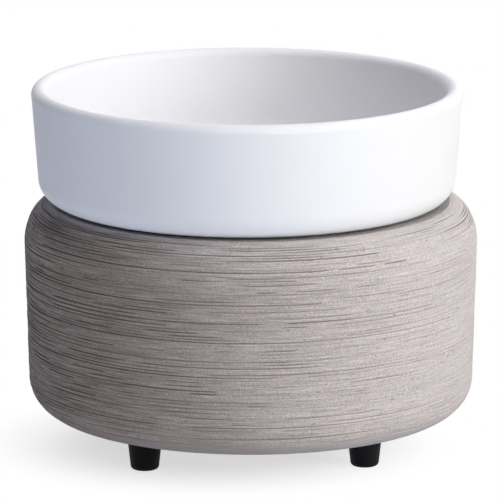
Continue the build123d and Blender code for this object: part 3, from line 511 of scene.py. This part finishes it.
def comb_depths(rng, count, turns, force):
    """How deep and how wide each tooth cuts, round the body."""
    columns = len(turns)
    depth = np.zeros((count, columns))
    # Most lines are long, and some are short or deep
    for track in range(count):
        waves = int(rng.choice(track_waves, p=track_wave_odds))
        presence = rounded_noise(rng, 1, waves, columns)[0]
        reach = rng.normal(-0.2, 0.5)
        strength = np.clip((presence - reach) * 2.2, 0, 1) * rng.uniform(0.3, 1.0)
        for nick in range(int(rng.integers(0, 4))):
            middle = rng.uniform(0, FULL_TURN)
            half = rng.uniform(*nick_half_lengths) * MM / body_radius
            nick_strength = stroke(turns, middle, half, nick_fade) * rng.uniform(*nick_strengths)
            strength = np.maximum(strength, nick_strength)
        depth[track] = strength
    # The first two tracks run nearly all the way round
    depth[:2] = np.maximum(depth[:2], np.clip(rounded_noise(rng, 2, 5, columns) * 0.5 + 0.55, 0, 1))
    half_width = rng.uniform(*groove_half_widths, size=count) * MM
    depth *= force
    # The last ones, round the shoulder, are deepest at the front, at the right and at the left
    pressed = sum(size * press(turns, degrees, width) for degrees, width, size in shoulder_presses)
    last = len(shoulder_share)
    presence = np.clip(rounded_noise(rng, last, 9, columns) * 0.55 + 0.1 + pressed, 0, 1)
    depth[-last:] = np.maximum(depth[-last:], presence * shoulder_share[:, None])
    half_width[-last:] = np.maximum(half_width[-last:], shoulder_half_width)
    return depth, half_width


def add_marks(tracks, depth, half_width, turns, outer, along):
    """Cut each stroke of comb_marks into the track that runs nearest to it."""
    for x, y, pixels, strength in comb_marks:
        middle, level = on_wall(x, y)
        track = int(np.argmin(np.abs(tracks - np.interp(level, outer[:, 1], along))))
        half = abs(on_wall(x + pixels / 2, y)[0] - on_wall(x - pixels / 2, y)[0]) / 2
        depth[track] = np.maximum(depth[track], strength * stroke(turns, middle, half, stroke_fade))
        half_width[track] = max(half_width[track], stroke_half_width)


def hand_relief(rng, place, length, force):
    """Broad soft waves that the hand left in the wall, at each point of the rows."""
    columns = place.shape[1]
    waves = rounded_noise(rng, int(length / hand_wave_step) + 2, 12, columns)
    swell = rounded_noise(rng, int(length / swell_step) + 2, 6, columns)
    relief = np.zeros(place.shape)
    for column in range(columns):
        at = place[:, column]
        wave = np.interp(at / hand_wave_step, np.arange(len(waves)), waves[:, column])
        relief[:, column] += wave * hand_wave_size * force[column]
        rise = np.interp(at / swell_step, np.arange(len(swell)), swell[:, column])
        relief[:, column] += rise * swell_size
    return relief


def combed_rows(outer, along, columns):
    """Place along the profile, relief and darkness of each row of points, for each column."""
    rng = np.random.default_rng(20)
    length = along[-1]
    turns = np.linspace(0, FULL_TURN, columns, endpoint=False)
    tracks = comb_tracks(rng, length)
    sway = rounded_noise(rng, 1, 4, columns)[0] * sway_size
    wobble = rounded_noise(rng, len(tracks), 6, columns)
    wobble = (wobble[:-1] + wobble[1:]) / 2
    wobble = np.vstack([wobble, wobble[-1]]) * wobble_size
    centre = tracks[:, None] + sway[None, :] + wobble
    # The hand pressed harder on one side of the body
    force = force_middle + force_swing * np.cos(turns - math.radians(force_turn))
    depth, half_width = comb_depths(rng, len(tracks), turns, force)
    add_marks(tracks, depth, half_width, turns, outer, along)
    # Shallower lines between these and the dish, clearest at the left
    step_in = np.arange(1, inner_track_count + 1) * inner_track_step
    presence = rounded_noise(np.random.default_rng(21), inner_track_count, 9, columns) * 0.5
    inner_depth = np.clip(presence + 0.1 + press(turns, 205, 0.7), 0, 0.85)
    tracks = np.append(tracks, tracks[-1] + step_in)
    centre = np.vstack([centre, centre[-1] + step_in[:, None]])
    depth = np.vstack([depth, inner_depth])
    half_width = np.append(half_width, [stroke_half_width] * inner_track_count)
    # Rows: five across each groove and one on each land between two grooves
    place, cut = [], []
    plain = np.zeros(columns)
    for track in range(len(tracks)):
        for offset, share in groove_shares:
            place.append(centre[track] + offset * half_width[track])
            cut.append(depth[track] * share)
        if track + 1 < len(tracks):
            place.append((centre[track] + centre[track + 1]) / 2)
            cut.append(plain)
    first = np.linspace(0, tracks[0] - row_margin, heel_rows)
    last = np.linspace(tracks[-1] + row_margin, length, top_rows)
    place = np.array([plain + at for at in first] + place + [plain + at for at in last])
    cut = np.array([plain] * len(first) + cut + [plain] * len(last))
    relief = hand_relief(rng, place, length, force) - cut * groove_depth
    # Always below the plain profile, so the body never leaves the CAD box
    relief = np.minimum(relief - face_sink, -least_sink)
    from_edge = np.clip((place - edge_plain) / edge_fade, 0, 1)
    fade = from_edge * np.clip((length - top_plain - place) / top_fade, 0, 1)
    return place, relief * fade, np.clip(cut, -1, 1) * fade


def combed_lathe(name, outer, inner, columns):
    """A closed turned mesh whose outer rows follow the comb."""
    outer, inner = np.array(outer), np.array(inner)
    steps = np.hypot(*np.diff(outer, axis=0).T)
    along = np.concatenate([[0], np.cumsum(steps)])
    tangent = np.gradient(outer, along, axis=0)
    normal = np.column_stack([tangent[:, 1], -tangent[:, 0]])
    place, relief, cut = combed_rows(outer, along, columns)
    radius = np.interp(place, along, outer[:, 0]) + relief * np.interp(place, along, normal[:, 0])
    level = np.interp(place, along, outer[:, 1]) + relief * np.interp(place, along, normal[:, 1])
    turns = np.linspace(0, FULL_TURN, columns, endpoint=False)
    radius = np.concatenate([radius, np.repeat(inner[:, 0, None], columns, 1)])
    level = np.concatenate([level, np.repeat(inner[:, 1, None], columns, 1)])
    row_count = len(radius)
    points = np.stack([radius * np.cos(turns), radius * np.sin(turns), level], axis=-1).reshape(-1, 3)
    row, column = np.meshgrid(np.arange(row_count), np.arange(columns), indexing="ij")
    next_row, next_column = (row + 1) % row_count, (column + 1) % columns
    corners = [
        row * columns + column,
        row * columns + next_column,
        next_row * columns + next_column,
        next_row * columns + column,
    ]
    faces = np.stack(corners, axis=-1).reshape(-1, 4)
    mesh = bpy.data.meshes.new(name)
    mesh.from_pydata(points.tolist(), [], faces.tolist())
    mesh.update()
    # Painted shade on the shoulder beside the dish: full at the left, less at the front and back, none at
    # the right
    painted_shade = np.clip((place - (along[-1] - painted_shade_start)) / painted_shade_growth, 0, 1)
    painted_shade *= np.clip(painted_shade_reach - np.cos(turns), 0, 1)
    unworked = np.zeros((len(inner), columns))
    for attribute_name, values in (("comb_cut", cut), ("comb_place", place), ("painted_shoulder_shade", painted_shade)):
        attribute = mesh.attributes.new(attribute_name, "FLOAT", "POINT")
        attribute.data.foreach_set("value", np.concatenate([values, unworked]).astype(np.float32).ravel())
    smooth(mesh)
    return placed(name, mesh)


def cutter(name, radius, start_y, end_y, level):
    """Round bar along Y that cuts the inlet."""
    mesh = bpy.data.meshes.new(name)
    work = bmesh.new()
    turn = Matrix.Translation((0, (start_y + end_y) / 2, level)) @ Matrix.Rotation(math.pi / 2, 4, "X")
    bmesh.ops.create_cone(
        work, cap_ends=True, segments=96, radius1=radius, radius2=radius, depth=end_y - start_y, matrix=turn
    )
    work.to_mesh(mesh)
    work.free()
    return placed(name, mesh)


body = combed_lathe("combed_body", outer_line, inner_line, column_count)
body.data.materials.append(materials["combed_stoneware"])
grommet_low, grommet_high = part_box("inlet_grommet")
inlet_level = (grommet_low.z + grommet_high.z) / 2
bore_start, past_wall = 50 * MM, 70 * MM
cuts = [
    cutter("inlet_bore", inlet_bore_radius, bore_start, past_wall, inlet_level),
    cutter("inlet_spot", inlet_spot_radius, grommet_high.y - inlet_spot_depth, past_wall, inlet_level),
]
for cut_piece in cuts:
    modifier = body.modifiers.new(cut_piece.name, "BOOLEAN")
    modifier.object = cut_piece
    modifier.operation = "DIFFERENCE"
    modifier.solver = "EXACT"
evaluated = body.evaluated_get(bpy.context.evaluated_depsgraph_get())
cut_mesh = bpy.data.meshes.new_from_object(evaluated)
body.modifiers.clear()
body.data = cut_mesh
for cut_piece in cuts:
    bpy.data.objects.remove(cut_piece)
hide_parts("body_shell")
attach(body, "base")


def pad_ring(name):
    """Insulation pad: a pressed fibre ring, flat where it is clamped, with a soft bulging edge."""
    low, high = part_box("insulation_pad")
    outer_bulge, inner_bulge, tuft_size = 1.6 * MM, 0.9 * MM, 0.12 * MM
    edge_room, hole_radius = 0.25 * MM, 5.6 * MM
    outer, inner = high.x - edge_room, hole_radius
    middle, half = (low.z + high.z) / 2, (high.z - low.z) / 2
    columns, side = 160, 10
    rng = np.random.default_rng(5)
    work = bmesh.new()
    section = []
    for start, centre, bulge in (
        (math.pi / 2, outer - outer_bulge, outer_bulge),
        (-math.pi / 2, inner + inner_bulge, inner_bulge),
    ):
        for step in range(side + 1):
            t = start - math.pi * step / side
            section.append((centre + bulge * math.cos(t), middle + half * math.sin(t)))
    tufts = rng.uniform(-1, 1, size=(columns, len(section)))
    rings = []
    for column in range(columns):
        turn = FULL_TURN * column / columns
        ring = []
        for index, (radius, level) in enumerate(section):
            squeeze = 1 - abs(level - middle) / half
            radius += tufts[column, index] * tuft_size * squeeze
            ring.append(work.verts.new((radius * math.cos(turn), radius * math.sin(turn), level)))
        rings.append(ring)
    for column in range(columns):
        here, there = rings[column], rings[(column + 1) % columns]
        for index in range(len(section)):
            after = (index + 1) % len(section)
            work.faces.new((here[index], here[after], there[after], there[index]))
    bmesh.ops.recalc_face_normals(work, faces=work.faces)
    mesh = bpy.data.meshes.new(name)
    work.to_mesh(mesh)
    work.free()
    smooth(mesh)
    mesh.materials.append(materials["insulation_fibre"])
    return placed(name, mesh)


pad = pad_ring("needled_pad")
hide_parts("insulation_pad")
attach(pad, "base")


# Floor: pale, white to the camera except where the object shades it
def grey(level):
    return (level, level, level, 1)


floor_half = 4.0
floor_paint, shown_floor_paint, shown_floor_glow = 0.75, 0.60, 0.635
# The shadow's oval: how it is moved and stretched, and where it starts to fade and ends
shadow_move, shadow_stretch = (9 * MM, -13.2 * MM, 0), (1, 1.1, 1)
shadow_fade = (28 * MM, 74 * MM)
floor_mesh = bpy.data.meshes.new("floor")
floor_corners = [(x * floor_half, y * floor_half, 0) for x, y in ((-1, -1), (1, -1), (1, 1), (-1, 1))]
floor_mesh.from_pydata(floor_corners, [], [(0, 1, 2, 3)])
floor = placed("floor", floor_mesh)
floor_material = bpy.data.materials.new("floor_white")
ground = Nodes(floor_material)
paint = ground.node("ShaderNodeBsdfDiffuse", {"Color": grey(floor_paint)}).outputs[0]
shown_paint = ground.node("ShaderNodeBsdfDiffuse", {"Color": grey(shown_floor_paint)}).outputs[0]
glow = ground.node("ShaderNodeEmission", {"Color": WHITE, "Strength": shown_floor_glow}).outputs[0]
shaded = ground.node("ShaderNodeAddShader", {0: shown_paint, 1: glow}).outputs[0]
# White a step away from the object, where its shadow has ended
bare = ground.node("ShaderNodeEmission", {"Color": WHITE, "Strength": 1.0}).outputs[0]
oval_inputs = {"Vector": ground.object_place(), "Location": shadow_move, "Scale": shadow_stretch}
oval = ground.node("ShaderNodeMapping", oval_inputs).outputs["Vector"]
fade_inputs = {"Value": ground.length(oval), 1: shadow_fade[0], 2: shadow_fade[1]}
fade = ground.node("ShaderNodeMapRange", fade_inputs, interpolation_type="SMOOTHSTEP").outputs["Result"]
shown = ground.either(fade, shaded, bare)
ground.node("ShaderNodeOutputMaterial", {"Surface": ground.either(ground.seen(), paint, shown)})
floor_mesh.materials.append(floor_material)

# World: white to the camera, a weak even light for the object
world_light = 0.01
world = bpy.data.worlds.new("studio")
bpy.context.scene.world = world
studio = Nodes(world)
dim = studio.node("ShaderNodeBackground", {"Color": WHITE, "Strength": world_light}).outputs[0]
white = studio.node("ShaderNodeBackground", {"Color": WHITE, "Strength": 1.0}).outputs[0]
studio.node("ShaderNodeOutputWorld", {"Surface": studio.either(studio.seen(), dim, white)})

# Lamps, all at one distance from a point in the middle of the object
lamp_distance, lamp_side = 1.3, 0.8
lamp_centre = Vector((0, 0, 60 * MM))


def softbox(name, azimuth, elevation, share, colour=(1, 1, 1), height=lamp_side):
    """Area lamp. Azimuth is from the front towards the right, and share 1 lights a facing white to 1."""
    a, e = math.radians(azimuth), math.radians(elevation)
    toward = Vector((math.sin(a) * math.cos(e), -math.cos(a) * math.cos(e), math.sin(e)))
    data = bpy.data.lights.new(name, "AREA")
    data.shape = "RECTANGLE"
    data.size, data.size_y = lamp_side, height
    data.energy = share * math.pi**2 * lamp_distance**2
    data.color = colour
    # With this sampling on, lamps that reach one piece alone light it too much
    data.cycles.use_multiple_importance_sampling = False
    lamp = placed(name, data)
    stand_off(lamp, lamp_centre, toward, lamp_distance)
    return lamp


softbox("key_low", 60, 10, 0.44, height=0.4)
softbox("key", 60, 35, 0.18)
softbox("key_high", 60, 60, 0.29)
softbox("front", 20, 25, 1.0, (0.113, 0.095, 0.094))
softbox("back_top", 180, 50, 1.0, (0.198, 0.175, 0.211))

# Fills that reach the dish alone
glaze_only = bpy.data.collections.new("glaze_only")
glaze_only.objects.link(nodes["dish"])
dish_top = softbox("dish_top", 0, 88, 1.0, (0.270, 0.280, 0.304))
# Two of them stand below for the light of a floor that glows, so the floor doesn't stop them
floor_light = (
    softbox("dish_left", -40, -20, 1.0, (0.220, 0.254, 0.348)),
    softbox("dish_front", -5, -20, 1.0, (0.060, 0.075, 0.065)),
)
glaze_and_body = bpy.data.collections.new("glaze_and_body")
glaze_and_body.objects.link(nodes["dish"])
glaze_and_body.objects.link(body)
for lamp in (dish_top, *floor_light):
    lamp.light_linking.receiver_collection = glaze_only
for lamp in floor_light:
    lamp.light_linking.blocker_collection = glaze_and_body

view = bpy.context.scene.view_settings
view.view_transform = "Standard"
